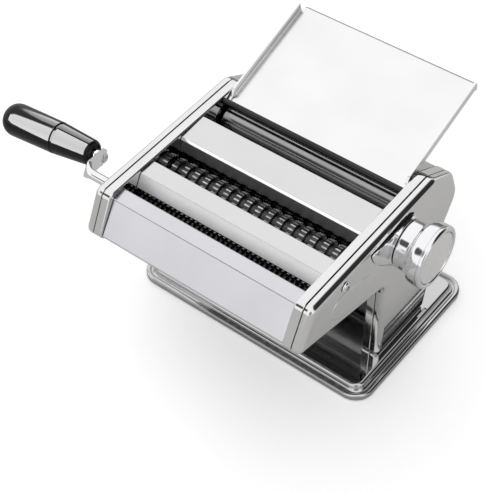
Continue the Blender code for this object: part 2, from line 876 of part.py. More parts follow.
def bar_ring(centre, side, up, half_width, half_thick, squareness):
    """A section of the bar: an oval at squareness 0, nearly a rectangle at 1."""
    points = []
    power = 1.0 - 0.45 * squareness
    for step in range(16):
        angle = 2.0 * math.pi * (step + 0.5) / 16
        c, s = math.cos(angle), math.sin(angle)
        a = math.copysign(abs(c) ** power, c) * half_width
        b = math.copysign(abs(s) ** power, s) * half_thick
        points.append(tuple(centre + side * a + up * b))
    return points


def crank(steel, plastic):
    """A round shaft that bends into a flat arm; the arm's eye holds the grip's pin."""
    y, z = NARROW_FRONT
    eye = Vector(CRANK_EYE)
    corner = Vector((CRANK_BEND, y, z))
    bend_start = Vector((CRANK_BEND + 7.0, y, z))
    out = Vector((-1.0, 0.0, 0.0))
    along = (eye - corner).normalized()
    bend_end = corner + along * 7.0
    width = along.cross(GRIP_AXIS).normalized()
    thick = width.cross(along).normalized()
    up = width.cross(out).normalized()
    stations = []
    for x in (-79.6, -104.0, -116.0):
        stations.append(bar_ring(Vector((x, y, z)), width, up, CRANK_SHAFT, CRANK_SHAFT, 0.0))
    for share, half_width, half_thick in (
        (0.25, 4.4, 3.2),
        (0.5, 5.2, 2.7),
        (0.75, 5.8, 2.3),
        (1.0, 6.2, 2.0),
    ):
        centre = bend_start.lerp(corner, share).lerp(corner.lerp(bend_end, share), share)
        up = width.cross(out.lerp(along, share)).normalized()
        stations.append(bar_ring(centre, width, up, half_width, half_thick, 1.0))
    stations.append(bar_ring(eye, width, thick, 6.6, 1.8, 1.0))
    arm = loft("crank_arm", stations, steel)
    head = turned(
        "crank_eye_disc",
        [(-1.8, 0.0), (-1.8, 6.2), (-1.4, 6.6), (1.4, 6.6), (1.8, 6.2), (1.8, 0.0)],
        tuple(eye),
        None,
        CUTTERS,
        segments=20,
        axis=thick,
    )
    pin = turned(
        "crank_pin",
        [
            (-3.4, 0.0),
            (-3.4, 3.4),
            (-2.6, 4.2),
            (7.0, 4.2),
            (7.0, 2.6),
            (66.0, 2.6),
            (66.0, 0.0),
        ],
        tuple(eye),
        None,
        CUTTERS,
        segments=16,
        axis=GRIP_AXIS,
    )
    join(arm, [head, pin])
    base = eye + GRIP_AXIS * 7.3
    grip_profile = [
        (68.0, 0.0),
        (68.0, 2.9),
        (0.0, 2.9),
        (0.0, 7.6),
        (1.0, 9.2),
        (3.2, 10.0),
        (32.0, 12.4),
        (32.6, 12.0),
        (33.4, 12.0),
        (34.0, 12.6),
        (74.0, 13.0),
        (79.0, 12.0),
        (82.6, 9.4),
        (84.4, 5.4),
        (GRIP_LENGTH, 0.0),
    ]
    turned("crank_grip", grip_profile, tuple(base), plastic, segments=24, axis=GRIP_AXIS)


# Feed tray.


def feed_tray(steel):
    """A sloping sheet with hemmed side walls, its top edge rolled back."""
    width = FEED_HALF
    sheet = 0.9
    slope = math.radians(FEED_ANGLE)
    ahead = (math.cos(slope), math.sin(slope))
    rise = (-math.sin(slope), math.cos(slope))

    def point(along, up):
        return (
            FEED_START[0] + ahead[0] * along + rise[0] * up,
            FEED_START[1] + ahead[1] * along + rise[1] * up,
        )

    def section(along, wall):
        half = [
            (width - 1.0, 0.0),
            (width, 1.0),
            (width, wall),
            (width - 0.3, wall + 0.3),
            (width - 1.9, wall + 0.3),
            (width - 1.9, wall - 0.8),
            (width - 0.9, wall - 0.8),
            (width - 0.9, 1.3),
            (width - 1.3, sheet),
        ]
        across = half + [(-x, up) for x, up in reversed(half)]
        return [(x, *point(along, up)) for x, up in across]

    flat = FEED_LENGTH - 5.0
    rows = [section(0.0, 2.2), section(3.0, 2.2), section(9.0, 6.5), section(flat, 6.5)]
    body = loft("feed_tray", rows, steel)
    curl = [point(flat - 2.0, 0.0)]
    bend_radius = 4.0
    for degrees in range(0, 151, 15):
        angle = slope - math.radians(degrees)
        y, z = point(flat, 0.0)
        y += bend_radius * (math.sin(slope) - math.sin(angle))
        z += bend_radius * (math.cos(angle) - math.cos(slope))
        curl.append((y, z))
    roll = prism("feed_lip", sheet_section(curl, sheet), 3.0 - width, width - 3.0, None, CUTTERS)
    return join(body, [roll])


def main():
    steel = make_material("polished_steel", (0.80, 0.80, 0.81), 0.12, 1.0)
    plate = make_material("plate_steel", (0.78, 0.78, 0.79), 0.22, 1.0)
    tray_steel = make_material("tray_steel", (0.76, 0.76, 0.78), 0.10, 1.0)
    roller_steel = make_material("roller_steel", (0.72, 0.73, 0.75), 0.18, 1.0)
    cutter_steel = make_material("cutter_steel", (0.45, 0.46, 0.48), 0.30, 1.0)
    gear_steel = make_material("gear_steel", (0.50, 0.50, 0.51), 0.40, 1.0)
    chrome = make_material("chrome", (0.84, 0.85, 0.87), 0.05, 1.0)
    cap_steel = make_material("cap_steel", (0.80, 0.80, 0.80), 0.35, 1.0)
    bearing = make_material("bearing_plastic", (0.08, 0.08, 0.09), 0.5, 0.0)
    black = make_material("grip_plastic", (0.012, 0.012, 0.013), 0.16, 0.0)
    rubber = make_material("rubber", (0.03, 0.03, 0.03), 0.8, 0.0)

    base_tray(tray_steel)
    feet(rubber)
    inner_shell("side_shell_left", -1, steel)
    inner_shell("side_shell_right", 1, steel)
    left_cover(steel)
    right_cover(steel)
    side_screw("side_screw_left", -1, chrome)
    side_screw("side_screw_right", 1, chrome)
    tie_rods(chrome)
    cover_plates(plate)
    smooth_roller("smooth_roller_front", SMOOTH_FRONT, False, roller_steel)
    smooth_roller("smooth_roller_rear", SMOOTH_REAR, True, roller_steel)
    for tag, front, rear, radius, core, pitch, land, segments in (
        ("wide", WIDE_FRONT, WIDE_REAR, WIDE_RADIUS, WIDE_CORE, WIDE_PITCH, 4.0, 16),
        ("narrow", NARROW_FRONT, NARROW_REAR, NARROW_RADIUS, NARROW_CORE, NARROW_PITCH, 0.0, 12),
    ):
        shape = (radius, core, pitch)
        cutter(f"{tag}_cutter_front", front, *shape, 0.0, land, True, cutter_steel, segments)
        cutter(f"{tag}_cutter_rear", rear, *shape, 0.5, land, False, cutter_steel, segments)
    gears(gear_steel)
    combs(plate)
    scrapers(plate)
    bearing_blocks(bearing)
    collar(chrome)
    adjuster(chrome, cap_steel)
    crank(chrome, black)
    feed_tray(plate)
    for obj in bpy.data.objects:
        obj.location += Vector(FRAME_SHIFT) * MM


main()
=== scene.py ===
"""Looks of the hand-cranked pasta roller machine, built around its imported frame."""

import math

import bmesh
import bpy
import numpy as np
from mathutils import Matrix, Vector


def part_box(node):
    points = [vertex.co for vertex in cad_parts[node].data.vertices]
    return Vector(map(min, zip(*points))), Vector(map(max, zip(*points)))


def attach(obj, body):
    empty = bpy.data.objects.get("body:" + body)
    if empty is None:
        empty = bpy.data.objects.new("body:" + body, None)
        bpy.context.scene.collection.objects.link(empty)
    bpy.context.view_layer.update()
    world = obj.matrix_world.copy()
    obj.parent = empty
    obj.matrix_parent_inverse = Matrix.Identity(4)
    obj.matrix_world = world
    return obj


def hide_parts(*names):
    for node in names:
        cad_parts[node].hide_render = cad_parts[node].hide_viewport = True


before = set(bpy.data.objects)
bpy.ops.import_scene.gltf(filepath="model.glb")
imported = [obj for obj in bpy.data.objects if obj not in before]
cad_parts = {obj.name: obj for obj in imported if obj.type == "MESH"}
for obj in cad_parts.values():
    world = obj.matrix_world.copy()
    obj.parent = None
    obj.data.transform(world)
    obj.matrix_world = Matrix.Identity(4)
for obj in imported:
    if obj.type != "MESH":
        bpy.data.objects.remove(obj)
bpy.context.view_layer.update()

MM = 0.001


def centre_of(node):
    """The middle of a CAD node's box, in millimetres."""
    low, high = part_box(node)
    return (low + high) / 2.0 / MM


# Machine-centred millimetres: x from the middle plane, y from the middle of the tray, z from the table.
SHIFT = Vector((centre_of("base_tray").x, centre_of("base_tray").y, 0.0))


def axis_of(node):
    """The (y, z) of the X-wise axis that a turned node lies on."""
    middle = centre_of(node) - SHIFT
    return (middle.y, middle.z)


SMOOTH_FRONT = axis_of("smooth_roller_front")
SMOOTH_REAR = axis_of("smooth_roller_rear")
WIDE_FRONT = axis_of("wide_cutter_front")
WIDE_REAR = axis_of("wide_cutter_rear")
NARROW_FRONT = axis_of("narrow_cutter_front")
NARROW_REAR = axis_of("narrow_cutter_rear")
TRAY_HALF_X = (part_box("base_tray")[1].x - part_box("base_tray")[0].x) / 2.0 / MM
TRAY_HALF_Y = (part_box("base_tray")[1].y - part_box("base_tray")[0].y) / 2.0 / MM
# Faces of the right-hand housing, along X; the left-hand one mirrors it.
INNER_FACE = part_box("side_shell_right")[0].x / MM - SHIFT.x
SHELL_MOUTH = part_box("side_shell_right")[1].x / MM - SHIFT.x
COVER_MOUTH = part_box("side_cover_right")[0].x / MM - SHIFT.x
# The left cover has no raised oval, so it shows the outer face itself.
OUTER_FACE = -(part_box("side_cover_left")[0].x / MM - SHIFT.x)
SHEET = 1.2
ROLLER_HALF = 74.3
SCREW = axis_of("side_screw_right")
# The housing's side outline, as (y, z, corner radius).
OUTLINE = [
    (-131.0, 104.4, 5.0),
    (-116.0, 135.9, 7.0),
    (21.0, 142.3, 12.0),
    (47.5, 129.0, 10.0),
    (57.0, 106.0, 16.0),
    (42.0, 80.0, 24.0),
    (30.0, 9.4, 3.0),
    (-31.0, 9.4, 3.0),
    (-31.0, 82.0, 10.0),
]


# Outlines.


def rounded(corners, step=8.0):
    """The polygon through (y, z, radius) corners, each corner turned into an arc."""
    points = []
    count = len(corners)
    for index in range(count):
        here = np.array(corners[index][:2], float)
        before = np.array(corners[index - 1][:2], float) - here
        after = np.array(corners[(index + 1) % count][:2], float) - here
        before /= np.linalg.norm(before)
        after /= np.linalg.norm(after)
        half = math.acos(float(np.clip(before @ after, -1.0, 1.0))) / 2.0
        radius = corners[index][2]
        if radius <= 0.0:
            points.append(tuple(here))
            continue
        middle = before + after
        middle /= np.linalg.norm(middle)
        centre = here + middle * radius / math.sin(half)
        start = here + before * radius / math.tan(half) - centre
        end = here + after * radius / math.tan(half) - centre
        first = math.atan2(start[1], start[0])
        turn = math.atan2(end[1], end[0]) - first
        turn = (turn + math.pi) % (2.0 * math.pi) - math.pi
        pieces = max(2, int(round(abs(math.degrees(turn)) / step)))
        for piece in range(pieces + 1):
            angle = first + turn * piece / pieces
            y = centre[0] + radius * math.cos(angle)
            z = centre[1] + radius * math.sin(angle)
            points.append((y, z))
    return points


def inset(corners, distance):
    """The same corner list with every side moved inwards and the radii following."""
    count = len(corners)
    area = 0.0
    for index in range(count):
        here = corners[index]
        following = corners[(index + 1) % count]
        area += here[0] * following[1] - following[0] * here[1]
    sign = 1.0 if area > 0.0 else -1.0
    moved = []
    for index in range(count):
        here = np.array(corners[index][:2], float)
        back = here - np.array(corners[index - 1][:2], float)
        ahead = np.array(corners[(index + 1) % count][:2], float) - here
        back /= np.linalg.norm(back)
        ahead /= np.linalg.norm(ahead)
        normal_back = sign * np.array([-back[1], back[0]])
        normal_ahead = sign * np.array([-ahead[1], ahead[0]])
        bisector = normal_back + normal_ahead
        bisector /= bisector @ normal_back
        convex = sign * (back[0] * ahead[1] - back[1] * ahead[0]) > 0.0
        radius = corners[index][2] - distance if convex else corners[index][2] + distance
        place = here + bisector * distance
        moved.append((place[0], place[1], max(radius, 0.3)))
    return moved


def bent_line(stations):
    """A bent line through (y, z, radius) stations, its ends left as they are."""
    line = [tuple(stations[0][:2])]
    for before, here, after in zip(stations, stations[1:], stations[2:]):
        corner = rounded([(*before[:2], 0.0), here, (*after[:2], 0.0)], 10.0)
        line += corner[1:-1] if here[2] > 0.0 else [tuple(here[:2])]
    line.append(tuple(stations[-1][:2]))
    return line


def offset_line(points, thickness):
    """The points moved sideways by thickness, to the left of the line's direction."""
    line = [np.array(point, float) for point in points]
    moved = []
    for index, here in enumerate(line):
        normals = []
        for start, end in ((index - 1, index), (index, index + 1)):
            if start < 0 or end >= len(line):
                continue
            along = line[end] - line[start]
            along /= np.linalg.norm(along)
            normals.append(np.array([-along[1], along[0]]))
        mean = sum(normals)
        mean /= np.linalg.norm(mean)
        mean /= mean @ normals[0]
        moved.append(tuple(here + mean * thickness))
    return moved


def softened(points):
    """Corner cutting, twice over: a smoother line that keeps its two ends."""
    for _ in range(2):
        line = [points[0]]
        for start, end in zip(points, points[1:]):
            start = np.array(start, float)
            end = np.array(end, float)
            line.append(tuple(start * 0.75 + end * 0.25))
            line.append(tuple(start * 0.25 + end * 0.75))
        line.append(points[-1])
        points = line
    return points


# Meshes.  Points are machine-centred millimetres.


def build(name, points, faces):
    """An object in the scene, its doubled points welded and its faces turned outwards."""
    mesh = bpy.data.meshes.new(name)
    mesh.from_pydata([(Vector(point) + SHIFT) * MM for point in points], [], faces)
    edit = bmesh.new()
    edit.from_mesh(mesh)
    bmesh.ops.remove_doubles(edit, verts=edit.verts, dist=1e-7)
    bmesh.ops.recalc_face_normals(edit, faces=edit.faces)
    edit.to_mesh(mesh)
    edit.free()
    obj = bpy.data.objects.new(name, mesh)
    bpy.context.scene.collection.objects.link(obj)
    return obj


def loft(name, rings, closed=False):
    """Rings of equal point count joined in order, capped at both ends or closed on itself."""
    count = len(rings[0])
    points = [point for ring in rings for point in ring]
    faces = []
    rows = len(rings) if closed else len(rings) - 1
    for row in range(rows):
        low = row * count
        high = ((row + 1) % len(rings)) * count
        for index in range(count):
            following = (index + 1) % count
            faces.append((low + index, low + following, high + following, high + index))
    if not closed:
        faces.append(tuple(reversed(range(count))))
        faces.append(tuple(range((len(rings) - 1) * count, len(rings) * count)))
    return build(name, points, faces)


def prism(name, outline, x0, x1):
    """A (y, z) outline drawn out along X."""
    return loft(name, [[(x0, y, z) for y, z in outline], [(x1, y, z) for y, z in outline]])


def lathe(name, profile, centre, axis=None, segments=96):
    """A solid turned about axis through centre; profile is (distance along axis, radius), end to end."""
    axis = Vector((1.0, 0.0, 0.0)) if axis is None else axis.normalized()
    helper = Vector((0.0, 0.0, 1.0)) if abs(axis.z) < 0.9 else Vector((0.0, 1.0, 0.0))
    side = axis.cross(helper).normalized()
    other = axis.cross(side)
    centre = Vector(centre)
    points, faces, rows = [], [], []
    for along, radius in profile:
        if radius <= 1e-6:
            rows.append([len(points)])
            points.append(centre + axis * along)
            continue
        row = []
        for step in range(segments):
            angle = 2.0 * math.pi * step / segments
            row.append(len(points))
            spoke = side * (radius * math.cos(angle)) + other * (radius * math.sin(angle))
            points.append(centre + axis * along + spoke)
        rows.append(row)
    for low, high in zip(rows, rows[1:]):
        for index in range(segments):
            following = (index + 1) % segments
            if len(low) == 1 and len(high) == 1:
                break
            if len(low) == 1:
                faces.append((low[0], high[following], high[index]))
            elif len(high) == 1:
                faces.append((low[index], low[following], high[0]))
            else:
                faces.append((low[index], low[following], high[following], high[index]))
    return build(name, points, faces)


def block(name, low, high):
    """A box used only to cut with."""
    (x0, y0, z0), (x1, y1, z1) = low, high
    return prism(name, [(y0, z0), (y1, z0), (y1, z1), (y0, z1)], x0, x1)


def merge(name, objects):
    """Several meshes in one object."""
    edit = bmesh.new()
    for obj in objects:
        edit.from_mesh(obj.data)
    mesh = bpy.data.meshes.new(name)
    edit.to_mesh(mesh)
    edit.free()
    for obj in objects:
        bpy.data.objects.remove(obj, do_unlink=True)
    merged = bpy.data.objects.new(name, mesh)
    bpy.context.scene.collection.objects.link(merged)
    return merged


def boolean(obj, tools, operation="DIFFERENCE"):
    """Cuts the tools out of obj, or joins them to it, and removes them."""
    for tool in tools:
        modifier = obj.modifiers.new("cut", "BOOLEAN")
        modifier.operation = operation
        modifier.solver = "EXACT"
        modifier.object = tool
    bpy.context.view_layer.update()
    graph = bpy.context.evaluated_depsgraph_get()
    mesh = bpy.data.meshes.new_from_object(obj.evaluated_get(graph), depsgraph=graph)
    obj.modifiers.clear()
    obj.data = mesh
    for tool in tools:
        bpy.data.objects.remove(tool, do_unlink=True)


def soften_edges(obj, width, segments=2, angle=40.0):
    """Rounds the edges sharper than angle, by width in millimetres."""
    modifier = obj.modifiers.new("edges", "BEVEL")
    modifier.width = width * MM
    modifier.segments = segments
    modifier.limit_method = "ANGLE"
    modifier.angle_limit = math.radians(angle)
    modifier.harden_normals = False


def seat(obj, body, nodes, material, angle=35.0):
    """Puts a finished piece on its body: material, shading, and the CAD nodes it stands for."""
    obj.data.materials.clear()
    obj.data.materials.append(material)
    obj.data.shade_smooth()
    obj.data.set_sharp_from_angle(angle=math.radians(angle))
    weighted = obj.modifiers.new("normals", "WEIGHTED_NORMAL")
    weighted.keep_sharp = True
    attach(obj, body)
    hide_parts(*nodes)


# Materials.


def new_material(name):
    """A node material with its tree and its shader."""
    material = bpy.data.materials.new(name)
    material.use_nodes = True
    tree = material.node_tree
    return material, tree, tree.nodes["Principled BSDF"]


def noise(tree, scale, detail=3.0, stretch=(1.0, 1.0, 1.0)):
    """Noise over the piece's own coordinates; scale is per metre."""
    coords = tree.nodes.new("ShaderNodeTexCoord")
    mapping = tree.nodes.new("ShaderNodeMapping")
    mapping.inputs["Scale"].default_value = stretch
    node = tree.nodes.new("ShaderNodeTexNoise")
    node.inputs["Scale"].default_value = scale
    node.inputs["Detail"].default_value = detail
    node.inputs["Roughness"].default_value = 0.5
    tree.links.new(coords.outputs["Object"], mapping.inputs["Vector"])
    tree.links.new(mapping.outputs["Vector"], node.inputs["Vector"])
    return node.outputs["Fac"]


def ranged(tree, value, low, high, from_low=0.3, from_high=0.7):
    """A value rescaled to run from low to high; the usual input is the middle part of a noise."""
    node = tree.nodes.new("ShaderNodeMapRange")
    node.inputs["From Min"].default_value = from_low
    node.inputs["From Max"].default_value = from_high
    node.inputs["To Min"].default_value = low
    node.inputs["To Max"].default_value = high
    tree.links.new(value, node.inputs["Value"])
    return node.outputs["Result"]


def tinted(tree, value, low, high):
    """A colour between two, by a 0 to 1 value."""
    node = tree.nodes.new("ShaderNodeMix")
    node.data_type = "RGBA"
    node.inputs["A"].default_value = (*low, 1.0)
    node.inputs["B"].default_value = (*high, 1.0)
    tree.links.new(value, node.inputs["Factor"])
    return node.outputs["Result"]


def bump(tree, height, distance, before=None):
    """A normal raised by height, distance in metres, on top of the bump before it."""
    node = tree.nodes.new("ShaderNodeBump")
    node.inputs["Distance"].default_value = distance
    node.inputs["Strength"].default_value = 1.0
    tree.links.new(height, node.inputs["Height"])
    if before is not None:
        tree.links.new(before, node.inputs["Normal"])
    return node.outputs["Normal"]


def metal(name, dark, light, smooth, rough, wave, wave_scale=18.0, grain=None, grain_depth=0.0, blue=1.0):
    """Bright metal: slow waves in the sheet, a little uneven polish and, where asked, a grain.

    dark and light are the grey levels of the patches, and blue is how much stronger their blue is.
    smooth and rough are the ends of the roughness; wave and grain_depth are heights in metres.
    """
    material, tree, shader = new_material(name)
    shader.inputs["Metallic"].default_value = 1.0
    patches = ranged(tree, noise(tree, 26.0, 4.0), 0.0, 1.0)
    colour = tinted(tree, patches, (dark, dark, dark * blue), (light, light, light * blue))
    tree.links.new(colour, shader.inputs["Base Color"])
    tree.links.new(ranged(tree, noise(tree, 60.0, 5.0), smooth, rough), shader.inputs["Roughness"])
    normal = bump(tree, noise(tree, wave_scale, 1.5), wave)
    if grain is not None:
        normal = bump(tree, noise(tree, 1.0, 2.0, grain), grain_depth, normal)
    tree.links.new(normal, shader.inputs["Normal"])
    return material


def plastic(name, dark, light, smooth, rough):
    """Moulded black plastic, its two grey levels mixed finely."""
    material, tree, shader = new_material(name)
    fine = ranged(tree, noise(tree, 700.0, 4.0), 0.0, 1.0)
    tree.links.new(tinted(tree, fine, (dark,) * 3, (light,) * 3), shader.inputs["Base Color"])
    tree.links.new(ranged(tree, noise(tree, 90.0, 4.0), smooth, rough), shader.inputs["Roughness"])
    tree.links.new(bump(tree, noise(tree, 60.0, 2.0), 0.00002), shader.inputs["Normal"])
    shader.inputs["Specular IOR Level"].default_value = 0.25
    return material


def cutter_steel(name, centre, radius, highlight_grey):
    """Near-black steel whose ring lands are painted bright, by distance from the roller's axis: a painted
    highlight on the lands, over a near-black base that is painted shade for the grooves.
    """
    material, tree, shader = new_material(name)
    shader.inputs["Metallic"].default_value = 1.0
    coords = tree.nodes.new("ShaderNodeTexCoord")
    offset = tree.nodes.new("ShaderNodeVectorMath")
    offset.operation = "SUBTRACT"
    offset.inputs[1].default_value = (Vector((0.0, *centre)) + SHIFT) * MM
    flat = tree.nodes.new("ShaderNodeVectorMath")
    flat.operation = "MULTIPLY"
    flat.inputs[1].default_value = (0.0, 1.0, 1.0)
    length = tree.nodes.new("ShaderNodeVectorMath")
    length.operation = "LENGTH"
    tree.links.new(coords.outputs["Object"], offset.inputs[0])
    tree.links.new(offset.outputs["Vector"], flat.inputs[0])
    tree.links.new(flat.outputs["Vector"], length.inputs[0])
    # Surfaces near the ring's outer radius are painted bright: a painted highlight, its grey spread by noise.
    painted_highlight = ranged(tree, length.outputs["Value"], 0.0, 1.0, (radius - 0.28) * MM, (radius - 0.1) * MM)
    highlight_spread = ranged(tree, noise(tree, 420.0, 4.0), 0.0, 1.0)
    land = tinted(tree, highlight_spread, (0.6 * highlight_grey,) * 3, (1.5 * highlight_grey,) * 3)
    colour = tree.nodes.new("ShaderNodeMix")
    colour.data_type = "RGBA"
    # The near-black base is painted shade for the grooves between the rings.
    colour.inputs["A"].default_value = (0.075, 0.075, 0.078, 1.0)
    tree.links.new(painted_highlight, colour.inputs["Factor"])
    tree.links.new(land, colour.inputs["B"])
    tree.links.new(colour.outputs["Result"], shader.inputs["Base Color"])
    tree.links.new(ranged(tree, noise(tree, 200.0, 4.0), 0.18, 0.34), shader.inputs["Roughness"])
    tree.links.new(bump(tree, noise(tree, 300.0, 3.0), 0.00002), shader.inputs["Normal"])
    return material


# How finely the grain runs along X, Y and Z, per metre.
BRUSHED_X = (3.0, 1600.0, 1600.0)
BRUSHED_SLOPE = (1600.0, 3.0, 3.0)
TURNED_X = (2600.0, 6.0, 6.0)
POLISHED = metal("polished_sheet", 0.745, 0.785, 0.055, 0.075, 0.00002)
PLATE = metal("satin_plate", 0.675, 0.70, 0.21, 0.24, 0.000012, 14.0, BRUSHED_X, 0.0000012)
# A darker, bluer copy of the satin plate for the front cover: the tone is a painted reflection.
FRONT_PAINTED_REFLECTION = metal("front_plate", 0.635, 0.665, 0.21, 0.24, 0.000012, 14.0, BRUSHED_X, 0.0000012, 1.045)
# A darker copy of the plate for the back cover's front-facing flange: painted shade.
FLANGE_PAINTED_SHADE = metal("flange_shade", 0.34, 0.42, 0.42, 0.50, 0.00001, 14.0)
# A brighter copy of the plate for the middle cover's front slope: painted highlight.
SLOPE_PAINTED_HIGHLIGHT = metal("middle_slope_painted_highlight", 0.92, 0.96, 0.50, 0.58, 0.00001, 14.0)
# A near-white copy of the plate for the back cover's front-facing edge: painted highlight.
EDGE_PAINTED_HIGHLIGHT = metal("back_edge_painted_highlight", 0.95, 0.98, 0.10, 0.14, 0.00001, 14.0)
FEED = metal("feed_sheet_steel", 0.83, 0.87, 0.22, 0.26, 0.000015, 14.0, BRUSHED_SLOPE, 0.0000012)
TRAY = metal("polished_tray", 0.54, 0.61, 0.035, 0.06, 0.00002, 22.0)
# The rollers' steel is set much darker than bright ground steel: painted shade for the gap they sit in.
ROLLER_PAINTED_SHADE = metal("ground_roller_painted_shade", 0.30, 0.38, 0.12, 0.20, 0.00001, 30.0, TURNED_X, 0.000002)
DARK_STEEL = metal("dark_rod", 0.035, 0.06, 0.14, 0.22, 0.00001, 60.0)
GEAR = metal("gear_sheet", 0.36, 0.46, 0.30, 0.42, 0.00002, 200.0)
CHROME = metal("chrome_plate", 0.81, 0.845, 0.035, 0.06, 0.000015, 40.0, None, 0.0, 1.02)
CAP = metal("satin_disc", 0.90, 0.94, 0.26, 0.32, 0.00001, 60.0)
GRIP = plastic("glossy_grip", 0.0017, 0.003, 0.05, 0.08)
BEARING = plastic("bearing_plastic", 0.05, 0.08, 0.4, 0.55)
RUBBER = plastic("foot_rubber", 0.018, 0.03, 0.7, 0.85)


# Base tray.


def tray_ring(distance, z):
    """The tray's rounded outline at height z, drawn in by distance."""
    steps = 14
    corner = 15.0
    radius = max(corner - distance, 4.0)
    half_x = TRAY_HALF_X - distance
    half_y = TRAY_HALF_Y - distance
    ring = []
    for quarter, (sx, sy) in enumerate(((1, 1), (-1, 1), (-1, -1), (1, -1))):
        for step in range(steps + 1):
            angle = math.radians(90.0 * quarter + 90.0 * step / steps)
            x = sx * (half_x - radius) + radius * math.cos(angle)
            y = sy * (half_y - radius) + radius * math.sin(angle)
            ring.append((x, y, z))
    return ring


def tray():
    """The pressed base, open in the middle, with the clamp slot in its right-hand side."""
    skin = [
        (10.4, 9.0),
        (9.6, 9.0),
        (8.5, 8.85),
        (7.6, 8.1),
        (6.3, 5.1),
        (5.2, 4.2),
        (4.2, 4.2),
        (3.4, 5.3),
        (2.4, 6.0),
        (1.1, 6.0),
        (0.1, 5.2),
        (0.0, 4.2),
        (0.0, 1.4),
        (0.45, 0.9),
        (1.0, 1.3),
        (1.2, 3.8),
        (2.0, 4.7),
        (3.2, 4.1),
        (4.2, 3.1),
        (6.0, 3.3),
        (8.0, 6.4),
        (9.6, 7.8),
        (10.4, 7.8),
    ]
    obj = loft("tray_pressing", [tray_ring(distance, z) for distance, z in softened(skin)])
    clamp_slot = block("slot_tool", (90.4, 17.5, 0.0), (92.8, 28.5, 15.0))
    boolean(obj, [clamp_slot])
    seat(obj, "frame", ["base_tray"], TRAY)


def foot(node):
    """A turned rubber pad under the tray."""
    middle = centre_of(node) - SHIFT
    profile = [
        (0.0, 0.0),
        (0.0, 5.6),
        (0.3, 7.0),
        (0.9, 7.8),
        (1.6, 8.0),
        (3.6, 7.9),
        (4.2, 7.4),
        (7.2, 7.2),
        (7.5, 6.9),
        (7.5, 0.0),
    ]
    obj = lathe(node + "_pad", profile, (middle.x, middle.y, 0.0), Vector((0.0, 0.0, 1.0)), 48)
    seat(obj, "frame", [node], RUBBER)


# Side housings.


def pan_rings(side, mouth, floor, lip, arcs):
    """Rings of a pressed pan, from inside its mouth round the rim to the floor's outer face."""
    inner_lip = max(lip - SHEET, 0.2)
    skin = [(floor - SHEET, SHEET + inner_lip + 0.4)]
    for step in range(arcs, -1, -1):
        angle = math.radians(90.0 * step / arcs)
        x = floor - SHEET - inner_lip + inner_lip * math.sin(angle)
        skin.append((x, SHEET + inner_lip - inner_lip * math.cos(angle)))
    skin += [(mouth + 0.3, SHEET), (mouth, SHEET - 0.3), (mouth, 0.3), (mouth + 0.3, 0.0)]
    for step in range(arcs + 1):
        angle = math.radians(90.0 * step / arcs)
        skin.append((floor - lip + lip * math.sin(angle), lip - lip * math.cos(angle)))
    skin.append((floor, lip + 0.4))
    return [[(side * x, y, z) for y, z in rounded(inset(OUTLINE, distance))] for x, distance in skin]


def mirrored_pan(side, mouth, floor, lip, arcs):
    """The same for a pan whose floor is nearer the middle plane than its mouth."""
    rings = []
    for ring in pan_rings(1, -mouth, -floor, lip, arcs):
        rings.append([(-side * x, y, z) for x, y, z in ring])
    return rings


def inner_shell(name, side):
    """The pan nearest the rollers, bored for their shafts, with the front smooth roller's window."""
    obj = loft(name + "_pan", mirrored_pan(side, SHELL_MOUTH, INNER_FACE, 1.2, 4))
    low, high = sorted((side * (INNER_FACE - 2.0), side * (INNER_FACE + 3.0)))
    y, z = SMOOTH_FRONT
    window_y = 7.2
    window_z = 4.3
    bore = 3.3
    tools = [block("window_tool", (low, y - window_y, z - window_z), (high, y + window_y, z + window_z))]
    for centre in (SMOOTH_REAR, WIDE_FRONT, WIDE_REAR, NARROW_FRONT, NARROW_REAR):
        tools.append(round_tool(low, high, bore, centre, 48))
    boolean(obj, tools)
    seat(obj, "frame", [name], POLISHED)


def round_tool(x0, x1, radius, centre, segments=64):
    """A cylinder along X used only to cut with."""
    profile = [(x0, 0.0), (x0, radius), (x1, radius), (x1, 0.0)]
    return lathe("round_tool", profile, (0.0, *centre), None, segments)


def long_oval(grow):
    """The raised long oval on the right cover's face."""
    lean = math.radians(-14.0)
    middle_y = -71.0
    middle_z = 109.2
    end_length = 16.0
    half_height = 10.0
    half_straight = 9.0
    outline = []
    for step in range(72):
        angle = 2.0 * math.pi * step / 72
        along = (end_length + grow) * math.cos(angle) + math.copysign(half_straight, math.cos(angle))
        across = (half_height + grow) * math.sin(angle)
        y = middle_y + along * math.cos(lean) - across * math.sin(lean)
        z = middle_z + along * math.sin(lean) + across * math.cos(lean)
        outline.append((y, z))
    return outline


def outer_cover(name, side):
    """The outer pan: crank holes on the left, the adjuster's hole and the raised oval on the right."""
    obj = loft(name + "_pan", pan_rings(side, COVER_MOUTH, OUTER_FACE, 4.5, 10))
    low, high = sorted((side * (OUTER_FACE - 4.0), side * (OUTER_FACE + 4.0)))
    screw_hole = 2.3
    crank_hole = 7.0
    knob_hole = 4.9
    tools = [round_tool(low, high, screw_hole, SCREW, 32)]
    if side < 0:
        for centre in (NARROW_FRONT, WIDE_FRONT, SMOOTH_REAR):
            tools.append(round_tool(low, high, crank_hole, centre))
    else:
        tools.append(round_tool(low, high, knob_hole, SMOOTH_FRONT))
        flank = [(-0.6, 0.5), (-0.02, 0.5), (0.12, 0.38), (0.24, 0.12)]
        crest = [(0.33, -0.3), (0.35, -0.9), (0.35, -1.6)]
        pad = [[(OUTER_FACE + x, y, z) for y, z in long_oval(grow)] for x, grow in flank + crest]
        boolean(obj, [loft("pad_tool", pad)], "UNION")
    boolean(obj, tools)
    seat(obj, "frame", [name], POLISHED)


